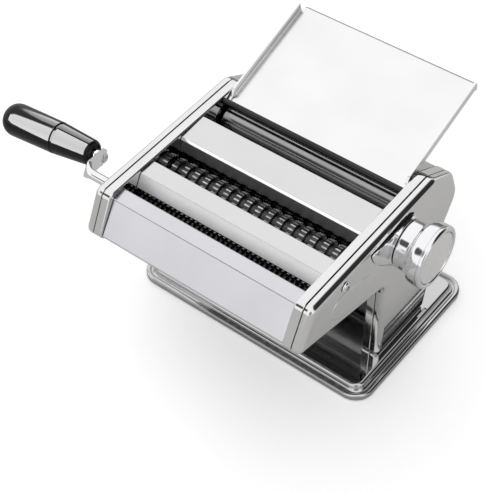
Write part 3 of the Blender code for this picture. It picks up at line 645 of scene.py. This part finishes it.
def screw(name, side):
    """A low domed head with a crossed recess."""
    face = OUTER_FACE + 0.3
    profile = [(face - 6.0, 0.0), (face - 6.0, 1.9), (face, 1.9), (face, 3.7), (face + 0.2, 3.9)]
    for step in range(9):
        angle = math.radians(10.0 * step + 8.0)
        profile.append((face + 0.3 + 1.6 * math.sin(angle), 3.9 * math.cos(angle) ** 0.8))
    profile = [(x, radius) for x, radius in profile if radius > 0.2] + [(face + 1.88, 0.0)]
    if side < 0:
        profile = [(-x, radius) for x, radius in profile]
    obj = lathe(name + "_head", profile, (0.0, *SCREW), None, 48)
    y, z = SCREW
    low, high = sorted((side * (face + 0.8), side * (face + 4.0)))
    tools = [
        block("slot_a", (low, y - 2.1, z - 0.42), (high, y + 2.1, z + 0.42)),
        block("slot_b", (low, y - 0.42, z - 2.1), (high, y + 0.42, z + 2.1)),
    ]
    boolean(obj, tools)
    soften_edges(obj, 0.08, 1)
    seat(obj, "frame", [name], CHROME)


def tie_rod(name):
    """A rod across the machine, stepped down where it passes through the side shells."""
    low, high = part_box(name)
    half = INNER_FACE - 0.3
    radius = (high.z - low.z) / 2.0 / MM
    end = (high.x - low.x) / 2.0 / MM
    neck = radius - 1.0
    profile = [
        (-end, 0.0),
        (-end, neck - 0.3),
        (-end + 0.3, neck),
        (-half, neck),
        (-half, radius - 0.4),
        (-half + 0.4, radius),
        (half - 0.4, radius),
        (half, radius - 0.4),
        (half, neck),
        (end - 0.3, neck),
        (end, neck - 0.3),
        (end, 0.0),
    ]
    obj = lathe(name + "_bar", profile, (0.0, *axis_of(name)), None, 48)
    seat(obj, "frame", [name], DARK_STEEL)


# Cover plates.


def bent_plate(node, stations, material, material_choices=()):
    """A folded sheet across the machine, its line given on the upper face.

    The extra (material, facing) pairs are copies of the plate's material, painted shade where darker and
    painted highlight where brighter, for the faces that look within 12 degrees of facing, (y, z).
    """
    half = (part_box(node)[1].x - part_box(node)[0].x) / 2.0 / MM
    line = bent_line(stations)
    outline = line + offset_line(line, -1.0)[::-1]
    obj = prism(node + "_sheet", outline, -half, half)
    seat(obj, "frame", [node], material)
    soften_edges(obj, 0.16, 2, 50.0)
    # The bevel goes ahead of the normals that seat() adds.
    obj.modifiers.move(1, 0)
    # Faces that look towards a facing get that copy of the material, painted lighter or darker by direction.
    for index, (painted_copy, facing) in enumerate(material_choices, 1):
        obj.data.materials.append(painted_copy)
        direction = Vector((0.0, *facing)).normalized()
        for face in obj.data.polygons:
            if face.normal.dot(direction) > math.cos(math.radians(12.0)):
                face.material_index = index


def cover_plates():
    """The four folded sheets over the rollers, each as (y, z, bend radius) stations."""
    front = [
        (-122.0, 103.2, 0),
        (-128.3, 106.4, 1.6),
        (-113.8, 131.2, 2.2),
        (-102.8, 133.0, 1.4),
        (-101.4, 127.0, 0),
    ]
    middle = [
        (-91.4, 125.4, 0),
        (-86.6, 134.2, 0.8),
        (-85.6, 134.85, 0.8),
        (-72.2, 135.6, 1.4),
        (-70.8, 126.0, 0),
    ]
    back = [
        (-44.8, 124.6, 0),
        (-44.7, 134.9, 0.7),
        (-43.5, 136.85, 0.5),
        (-19.4, 139.0, 1.2),
        (-18.6, 135.2, 0),
    ]
    rear = [
        (21.2, 137.6, 0),
        (23.2, 141.0, 1.2),
        (46.0, 129.0, 5.0),
        (54.8, 106.0, 10.0),
        (40.2, 80.5, 14.0),
        (28.6, 12.0, 0),
    ]
    bent_plate("front_cover", front, FRONT_PAINTED_REFLECTION)
    # The middle cover's slope and the back cover's edge get painted highlights, and the back cover's flange
    # painted shade.
    bent_plate("middle_cover", middle, PLATE, [(SLOPE_PAINTED_HIGHLIGHT, (-0.88, 0.48))])
    bent_plate("back_cover", back, PLATE, [(FLANGE_PAINTED_SHADE, (-1.0, 0.0)), (EDGE_PAINTED_HIGHLIGHT, (-0.85, 0.52))])
    bent_plate("rear_cover", rear, PLATE)


# Rollers and cutters.


def shaft_ends(name, driven):
    """The crank-side and knob-side shaft profiles, read off the CAD roller's own length."""
    low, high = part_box(name)
    start = low.x / MM - SHIFT.x
    end = high.x / MM - SHIFT.x
    if driven:
        socket_floor = start + 8.5
        shoulder = -76.6
        left = [(socket_floor, 0.0), (socket_floor, 3.7), (start + 0.5, 4.0), (start, 4.3), (start, 5.3)]
        left += [(start + 0.3, 5.6), (shoulder, 5.6), (shoulder, 3.0)]
    else:
        left = [(start, 0.0), (start, 2.6), (start + 0.4, 3.0)]
    return left, [(end - 0.4, 3.0), (end, 2.6), (end, 0.0)]


def smooth_roller(name, centre, driven):
    """A ground roller with stepped ends."""
    left, right = shaft_ends(name, driven)
    half = ROLLER_HALF
    middle = [
        (-half + 0.2, 3.0),
        (-half + 0.2, 9.0),
        (-half + 2.0, 11.8),
        (-half + 2.5, 12.0),
        (half - 2.5, 12.0),
        (half - 2.0, 11.8),
        (half - 0.2, 9.0),
        (half - 0.2, 3.0),
    ]
    obj = lathe(name + "_body", left + middle + right, (0.0, *centre))
    seat(obj, name.replace("_roller", ""), [name], ROLLER_PAINTED_SHADE)


def fluted_ring(name, x, half, radius, depth, flutes, centre, turn):
    """One ring of a cutter, its rim crossed by shallow grooves along the axis."""
    chamfer = 0.15
    shrink = 1 - chamfer / radius
    y0, z0 = centre
    outline = []
    step = 2.0 * math.pi / flutes
    for flute in range(flutes):
        middle = turn + flute * step
        for share, drop in ((-0.16, 0.0), (0.16, 0.0), (0.24, depth), (0.50, depth), (0.76, depth)):
            angle = middle + share * step
            reach = radius - drop
            outline.append((y0 + reach * math.cos(angle), z0 + reach * math.sin(angle)))
    small = [(y0 + (y - y0) * shrink, z0 + (z - z0) * shrink) for y, z in outline]
    places = [x - half, x - half + chamfer, x + half - chamfer, x + half]
    lines = [small, outline, outline, small]
    rings = [[(place, y, z) for y, z in line] for place, line in zip(places, lines)]
    return loft(name, rings)


# The two kinds of cutter: ring radius, core radius, pitch, half a ring's width, flutes, their depth.
WIDE = (9.4, 7.0, 9.0, 2.15, 18, 0.55)
NARROW = (8.4, 6.3, 4.0, 0.9, 16, 0.5)


def cutter(name, centre, kind, phase, driven, painted_highlight):
    """A cutter roller: crosswise fluted rings, with fluted sleeves of the core's size between them.

    phase shifts the rings by a share of their pitch, and the last number is the grey of the highlight painted
    on their lands.
    """
    radius, core, pitch, half, flutes, depth = kind
    turn = math.radians(118.0)
    margin = 3.4
    sleeve_radius = core + 0.3
    sleeve_half = pitch / 2.0 - half - 0.05
    left, right = shaft_ends(name, driven)
    middle = [(-ROLLER_HALF, 3.0), (-ROLLER_HALF, core - 0.3), (-ROLLER_HALF + 0.3, core)]
    middle += [(ROLLER_HALF - 0.3, core), (ROLLER_HALF, core - 0.3), (ROLLER_HALF, 3.0)]
    parts = [lathe(name + "_core", left + middle + right, (0.0, *centre), None, 64)]
    last = ROLLER_HALF - margin + 0.1
    x = -ROLLER_HALF + margin + phase * pitch
    while x < last:
        parts.append(fluted_ring("ring", x, half, radius, depth, flutes, centre, turn))
        x += pitch
        if x < last:
            middle_x = x - pitch / 2.0
            sleeve = fluted_ring("sleeve", middle_x, sleeve_half, sleeve_radius, 0.3, flutes, centre, turn)
            for face in sleeve.data.polygons:
                face.material_index = 1
            parts.append(sleeve)
    obj = merge(name + "_body", parts)
    ring_steel = cutter_steel(name + "_steel", centre, radius, painted_highlight)
    seat(obj, name.replace("_cutter", ""), [name], ring_steel)
    # The sleeves between the rings get the same painted highlight at their rim and painted shade below it.
    obj.data.materials.append(cutter_steel(name + "_core_steel", centre, sleeve_radius, 0.34))


# Adjuster.


def drop_ring(x, radius, stretch, top):
    """A circle round the knob's axis, drawn out forward into a wide point, its top edge level."""
    y0, z0 = SMOOTH_FRONT
    steps = 120
    first = 126.0
    last = 216.0
    ring = []
    for step in range(steps):
        degrees = 360.0 * step / steps
        angle = math.radians(degrees)
        reach = radius
        if first < degrees < last:
            reach += stretch * ((last - degrees) / 52.0) ** 1.5
        if math.sin(angle) > 0.1:
            reach = min(reach, top / math.sin(angle))
        ring.append((x, y0 + reach * math.cos(angle), z0 + reach * math.sin(angle)))
    return ring


def collar():
    """The drop-shaped pressing between the right cover and the knob."""
    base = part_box("adjuster_collar")[0].x / MM - SHIFT.x
    rings = [
        drop_ring(base, 6.2, 0.0, 30.0),
        drop_ring(base, 19.5, 15.6, 14.1),
        drop_ring(base + 0.15, 19.7, 15.9, 14.35),
        drop_ring(base + 0.5, 19.7, 15.7, 14.5),
        drop_ring(base + 1.0, 19.4, 14.8, 14.8),
        drop_ring(base + 1.6, 19.0, 12.6, 15.3),
        drop_ring(base + 2.2, 18.6, 9.6, 15.9),
        drop_ring(base + 2.8, 18.3, 6.0, 16.8),
        drop_ring(base + 3.3, 18.0, 2.8, 18.0),
        drop_ring(base + 3.7, 17.8, 0.8, 30.0),
        drop_ring(base + 4.1, 17.6, 0.0, 30.0),
        drop_ring(base + 4.35, 17.3, 0.0, 30.0),
        drop_ring(base + 4.4, 17.0, 0.0, 30.0),
        drop_ring(base + 4.4, 6.2, 0.0, 30.0),
    ]
    seat(loft("collar_pressing", rings, True), "frame", ["adjuster_collar"], CHROME)


def knob():
    """The thickness knob, waisted behind its wide rim, and the satin disc in its end."""
    low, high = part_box("adjusting_knob")
    back = low.x / MM - SHIFT.x
    end = high.x / MM - SHIFT.x
    rim = (high.z - low.z) / 2.0 / MM
    outside = [
        (back, 16.6),
        (back + 0.25, 17.3),
        (back + 0.8, 17.9),
        (back + 1.6, 18.1),
        (102.0, 18.2),
        (103.4, 18.6),
        (104.6, 19.5),
        (105.6, 20.7),
        (106.6, 21.7),
        (107.8, 22.3),
        (109.2, rim - 0.15),
        (111.0, rim - 0.05),
        (114.0, rim),
        (114.25, rim - 0.1),
        (114.4, rim - 0.7),
        (114.9, rim - 0.7),
        (115.05, rim - 0.1),
        (115.3, rim),
        (116.2, rim - 0.05),
        (116.9, rim - 0.35),
        (117.5, rim - 0.95),
        (end - 0.1, rim - 1.7),
        (end, rim - 2.3),
        (end - 0.1, rim - 2.9),
        (end - 0.5, rim - 3.4),
        (end - 1.0, 19.15),
        (end - 2.0, 19.1),
    ]
    inside = [(112.0, 0.0), (112.0, 4.9), (back, 4.9)]
    obj = lathe("knob_body", inside + outside + [(end - 2.0, 0.0)], (0.0, *SMOOTH_FRONT), None, 160)
    seat(obj, "knob", ["adjusting_knob"], CHROME, 50.0)
    cap_low, cap_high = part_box("knob_cap")
    back = cap_low.x / MM - SHIFT.x
    front = cap_high.x / MM - SHIFT.x
    profile = [(back, 0.0), (back, 18.7), (front - 0.3, 18.7)]
    profile += [(front - 0.1, 18.6), (front, 18.4), (front, 0.0)]
    obj = lathe("knob_disc", profile, (0.0, *SMOOTH_FRONT), None, 160)
    seat(obj, "knob", ["knob_cap"], CAP)


# Crank.

CRANK_EYE = Vector((-146.5, -52.0, 83.4))
GRIP_AXIS = Vector((-0.9955, -0.0600, -0.0500)).normalized()


def bar_ring(centre, side, up, half_width, half_thick, squareness):
    """A section of the bar: an oval at squareness 0, a rounded rectangle at 1."""
    points = []
    power = 1.0 - 0.62 * squareness
    for step in range(48):
        angle = 2.0 * math.pi * (step + 0.5) / 48
        cosine = math.cos(angle)
        sine = math.sin(angle)
        across = math.copysign(abs(cosine) ** power, cosine) * half_width
        through = math.copysign(abs(sine) ** power, sine) * half_thick
        points.append(tuple(centre + side * across + up * through))
    return points


def crank():
    """The crank's arm: a round shaft bent aside and flattened to an eye, with the grip's pin."""
    y, z = NARROW_FRONT
    corner = Vector((-124.0, y, z))
    start = Vector((-117.0, y, z))
    out = Vector((-1.0, 0.0, 0.0))
    along = (CRANK_EYE - corner).normalized()
    end = corner + along * 7.0
    width = along.cross(GRIP_AXIS).normalized()
    thick = width.cross(along).normalized()
    up = width.cross(out).normalized()
    stations = []
    for x, share in ((-79.8, 0.92), (-80.2, 1.0), (-104.0, 1.0), (-112.0, 1.0), (-116.0, 1.0)):
        stations.append(bar_ring(Vector((x, y, z)), width, up, 3.6 * share, 3.6 * share, 0.0))
    for step in range(1, 13):
        share = step / 12.0
        centre = start.lerp(corner, share).lerp(corner.lerp(end, share), share)
        heading = out.lerp(along, share).normalized()
        across = width.cross(heading).normalized()
        ease = share * share * (3.0 - 2.0 * share)
        stations.append(bar_ring(centre, width, across, 3.6 + 2.6 * ease, 3.6 - 1.6 * ease, ease))
    for share in (0.2, 0.5, 0.8, 1.0):
        centre = end.lerp(CRANK_EYE, share)
        stations.append(bar_ring(centre, width, thick, 6.2 + 0.4 * share, 2.0 - 0.2 * share, 1.0))
    arm = loft("arm_bar", stations)
    under = [(-1.8, 0.0), (-1.8, 6.0), (-1.5, 6.45), (-1.0, 6.6)]
    over = [(-distance, radius) for distance, radius in reversed(under)]
    eye = lathe("arm_eye", under + over, CRANK_EYE, thick, 64)
    rivet = [(-3.4, 0.0), (-3.35, 2.4), (-3.1, 3.3), (-2.6, 3.9), (-2.0, 4.2), (6.6, 4.2), (7.0, 3.8)]
    stem = [(7.0, 2.6), (66.0, 2.6), (66.0, 0.0)]
    pin = lathe("arm_pin", rivet + stem, CRANK_EYE, GRIP_AXIS, 64)
    boolean(arm, [eye, pin], "UNION")
    arm.name = "crank_bar"
    seat(arm, "crank", ["crank_arm"], CHROME)


def grip():
    """The grip, bored for its pin, with a neck, a groove round it and a domed end."""
    dome_start = 74.0
    dome_length = 10.8
    dome_radius = 13.0
    bore = [(68.0, 0.0), (68.0, 2.9), (0.0, 2.9)]
    neck = [(0.0, 7.0), (0.2, 7.8), (0.8, 8.8), (1.8, 9.5), (3.2, 10.0), (31.4, 12.35), (31.9, 12.3)]
    groove = [(32.2, 11.9), (32.5, 11.6), (33.5, 11.6), (33.8, 11.9), (34.1, 12.4), (34.6, 12.6)]
    profile = bore + neck + groove + [(70.0, dome_radius), (dome_start, 12.98)]
    for step in range(1, 12):
        angle = math.radians(90.0 * step / 12)
        x = dome_start + dome_length * math.sin(angle)
        profile.append((x, dome_radius * math.cos(angle) ** 0.72))
    profile.append((dome_start + dome_length, 0.0))
    obj = lathe("grip_handle", profile, CRANK_EYE + GRIP_AXIS * 7.3, GRIP_AXIS, 128)
    seat(obj, "grip", ["crank_grip"], GRIP, 40.0)


# Feed tray.


def feed():
    """A sloping sheet with hemmed side walls, its top edge rolled back."""
    width = (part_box("feed_tray")[1].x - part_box("feed_tray")[0].x) / 2.0 / MM
    slope = math.radians(20.4)
    sheet = 0.9
    start = (6.5, 134.4)

    def point(along, up):
        """The (y, z) of a place along the slope and up from the sheet's underside."""
        return (
            start[0] + math.cos(slope) * along - math.sin(slope) * up,
            start[1] + math.sin(slope) * along + math.cos(slope) * up,
        )

    def section(along, wall):
        """The sheet's cross-section with its side walls of the given height, hems rolled inwards."""
        half = [
            (width - 1.4, 0.0),
            (width - 0.7, 0.12),
            (width - 0.2, 0.5),
            (width, 1.2),
            (width, wall - 0.1),
            (width - 0.12, wall + 0.15),
            (width - 0.5, wall + 0.3),
            (width - 1.5, wall + 0.3),
            (width - 1.85, wall + 0.15),
            (width - 1.95, wall - 0.2),
            (width - 1.9, wall - 1.0),
            (width - 0.95, wall - 1.0),
            (width - 0.9, 1.6),
            (width - 1.1, 1.15),
            (width - 1.6, sheet),
        ]
        across = half + [(-x, up) for x, up in reversed(half)]
        return [(x, *point(along, up)) for x, up in across]

    flat = 91.0
    curl_radius = 4.0
    walls = [(0.0, 2.2), (3.0, 2.2), (4.5, 2.7), (6.5, 4.6), (8.0, 6.0), (9.5, 6.5), (50.0, 6.5), (flat, 6.5)]
    body = loft("feed_sheet", [section(along, wall) for along, wall in walls])
    curl = [point(flat - 2.0, 0.0)]
    y0, z0 = point(flat, 0.0)
    for degrees in range(0, 151, 6):
        angle = slope - math.radians(degrees)
        y = y0 + curl_radius * (math.sin(slope) - math.sin(angle))
        z = z0 + curl_radius * (math.cos(angle) - math.cos(slope))
        curl.append((y, z))
    roll = prism("feed_roll", curl + offset_line(curl, sheet)[::-1], 3.0 - width, width - 3.0)
    boolean(body, [roll], "UNION")
    seat(body, "feed", ["feed_tray"], FEED)


def finish_cad_nodes():
    """Pieces inside the housings and under the rollers keep their CAD shape and get their surface materials.
    """
    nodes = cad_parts
    material_choices = {
        GEAR: [name for name in nodes if "_gear_" in name],
        PLATE: [name for name in nodes if "_comb_" in name or name.startswith("scraper_")],
        BEARING: [name for name in nodes if name.startswith("bearing_block_")],
        CHROME: ["adjuster_shaft"],
    }
    for material, names in material_choices.items():
        for name in names:
            nodes[name].data.materials.clear()
            nodes[name].data.materials.append(material)


def object_pieces():
    """Every visible piece of the machine."""
    tray()
    for name in ("foot_front_left", "foot_front_right", "foot_back_left", "foot_back_right"):
        foot(name)
    inner_shell("side_shell_left", -1)
    inner_shell("side_shell_right", 1)
    outer_cover("side_cover_left", -1)
    outer_cover("side_cover_right", 1)
    screw("side_screw_left", -1)
    screw("side_screw_right", 1)
    for name in ("tie_rod_top", "tie_rod_front", "tie_rod_low"):
        tie_rod(name)
    cover_plates()
    smooth_roller("smooth_roller_front", SMOOTH_FRONT, False)
    smooth_roller("smooth_roller_rear", SMOOTH_REAR, True)
    # The last number is the grey of the painted highlight on the ring lands; the front wide cutter's is
    # lower, as painted shade.
    cutter("wide_cutter_front", WIDE_FRONT, WIDE, 0.0, True, 0.44)
    cutter("wide_cutter_rear", WIDE_REAR, WIDE, 0.5, False, 0.62)
    cutter("narrow_cutter_front", NARROW_FRONT, NARROW, 0.0, True, 0.62)
    cutter("narrow_cutter_rear", NARROW_REAR, NARROW, 0.5, False, 0.62)
    collar()
    knob()
    crank()
    grip()
    feed()
    finish_cad_nodes()


# Stage.


def floor():
    """A wide pale floor."""
    mesh = bpy.data.meshes.new("floor")
    size = 6.0
    corners = [(-size, -size, 0.0), (size, -size, 0.0), (size, size, 0.0), (-size, size, 0.0)]
    mesh.from_pydata(corners, [], [(0, 1, 2, 3)])
    obj = bpy.data.objects.new("floor", mesh)
    bpy.context.scene.collection.objects.link(obj)
    material, tree, shader = new_material("pale_floor")
    shader.inputs["Base Color"].default_value = (0.90, 0.90, 0.90, 1.0)
    shader.inputs["Roughness"].default_value = 0.6
    shader.inputs["Specular IOR Level"].default_value = 0.1
    shader.inputs["Emission Color"].default_value = (1.0, 1.0, 1.0, 1.0)
    shader.inputs["Emission Strength"].default_value = 0.36
    # Polished metal sees the floor darker than the lens does, as with a room's light falling off.
    path = tree.nodes.new("ShaderNodeLightPath")
    far = tree.nodes.new("ShaderNodeBsdfDiffuse")
    far.inputs["Color"].default_value = (0.66, 0.655, 0.645, 1.0)
    mix = tree.nodes.new("ShaderNodeMixShader")
    tree.links.new(path.outputs["Is Glossy Ray"], mix.inputs["Fac"])
    tree.links.new(shader.outputs["BSDF"], mix.inputs[1])
    tree.links.new(far.outputs["BSDF"], mix.inputs[2])
    tree.links.new(mix.outputs["Shader"], tree.nodes["Material Output"].inputs["Surface"])
    mesh.materials.append(material)


def shade(tree, coords, direction, inner, outer, depth):
    """A soft dark patch of the studio.

    depth is the share of the light that is gone inside inner degrees; beyond outer none is.
    """
    dot = tree.nodes.new("ShaderNodeVectorMath")
    dot.operation = "DOT_PRODUCT"
    dot.inputs[1].default_value = Vector(direction).normalized()
    tree.links.new(coords, dot.inputs[0])
    node = tree.nodes.new("ShaderNodeMapRange")
    node.interpolation_type = "SMOOTHSTEP"
    node.inputs["From Min"].default_value = math.cos(math.radians(outer))
    node.inputs["From Max"].default_value = math.cos(math.radians(inner))
    node.inputs["To Min"].default_value = 1.0
    node.inputs["To Max"].default_value = 1.0 - depth
    tree.links.new(dot.outputs["Value"], node.inputs["Value"])
    return node.outputs["Result"]


def studio():
    """A bright room with four dark openings, which give the polished steel its dark streaks."""
    world = bpy.data.worlds.new("studio")
    bpy.context.scene.world = world
    world.use_nodes = True
    tree = world.node_tree
    background = tree.nodes["Background"]
    coords = tree.nodes.new("ShaderNodeTexCoord").outputs["Generated"]
    brightness = 1.10
    openings = (
        ((0.62, 0.60, 0.50), 24.0, 46.0, 0.97),
        ((-0.42, -0.695, 0.583), 7.0, 15.0, 0.92),
        ((-0.30, 0.95, 0.05), 12.0, 27.0, 0.85),
        ((0.70, -0.70, 0.30), 8.0, 26.0, 0.75),
    )
    light = None
    for direction, inner, outer, depth in openings:
        patch = shade(tree, coords, direction, inner, outer, depth)
        times = tree.nodes.new("ShaderNodeMath")
        times.operation = "MULTIPLY"
        times.inputs[0].default_value = brightness
        if light is not None:
            tree.links.new(light, times.inputs[0])
        tree.links.new(patch, times.inputs[1])
        light = times.outputs[0]
    path = tree.nodes.new("ShaderNodeLightPath")
    seen = tree.nodes.new("ShaderNodeMix")
    seen.data_type = "FLOAT"
    seen.inputs[3].default_value = 1.0
    tree.links.new(path.outputs["Is Camera Ray"], seen.inputs[0])
    tree.links.new(light, seen.inputs[2])
    tree.links.new(seen.outputs[0], background.inputs["Strength"])
    background.inputs["Color"].default_value = (1.0, 1.0, 1.0, 1.0)


def softbox(name, target, direction, distance, size, power, receivers):
    """A rectangular light aimed at target, its length along X, that lights only the receivers."""
    light = bpy.data.lights.new(name, "AREA")
    light.shape = "RECTANGLE"
    light.size, light.size_y = size
    light.energy = power
    away = Vector(direction).normalized()
    across = (Vector((1.0, 0.0, 0.0)) - away * away.x).normalized()
    rotation = Matrix((across, away.cross(across), away)).transposed()
    obj = bpy.data.objects.new(name, light)
    obj.matrix_world = Matrix.Translation(Vector(target) + away * distance) @ rotation.to_4x4()
    bpy.context.scene.collection.objects.link(obj)
    group = bpy.data.collections.new(name + "_receivers")
    for receiver in receivers:
        group.objects.link(bpy.data.objects[receiver])
    obj.light_linking.receiver_collection = group
    obj.visible_diffuse = False
    obj.visible_camera = False


def lights():
    """The studio, and two strip lights that draw the long stripes on the glossy grip."""
    studio()
    grip_centre = (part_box("crank_grip")[0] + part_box("crank_grip")[1]) / 2.0
    distance = 0.5
    length = 0.3
    lean = 0.4216
    reach = 0.9068
    for name, degrees, width, power in (("strip_front", 131.0, 1.0, 27.0), ("strip_back", 42.0, 0.42, 3.2)):
        angle = math.radians(degrees)
        towards = (-lean, reach * math.cos(angle), reach * math.sin(angle))
        softbox(name, grip_centre, towards, distance, (length, width), power, ["grip_handle"])


def camera():
    """A long lens from the front right, high up."""
    azimuth = math.radians(37.76)
    elevation = math.radians(46.50)
    place = Vector((372.8, -545.0, 734.4))
    level = math.cos(elevation)
    back = Vector((math.sin(azimuth) * level, -math.cos(azimuth) * level, math.sin(elevation)))
    data = bpy.data.cameras.new("camera")
    data.sensor_width = 36.0
    data.sensor_fit = "HORIZONTAL"
    data.lens = 94.0
    obj = bpy.data.objects.new("camera", data)
    obj.location = (place + SHIFT) * MM
    obj.rotation_euler = back.to_track_quat("Z", "Y").to_euler()
    bpy.context.scene.collection.objects.link(obj)
    bpy.context.scene.camera = obj


object_pieces()
floor()
lights()
camera()
bpy.context.scene.view_settings.view_transform = "Standard"
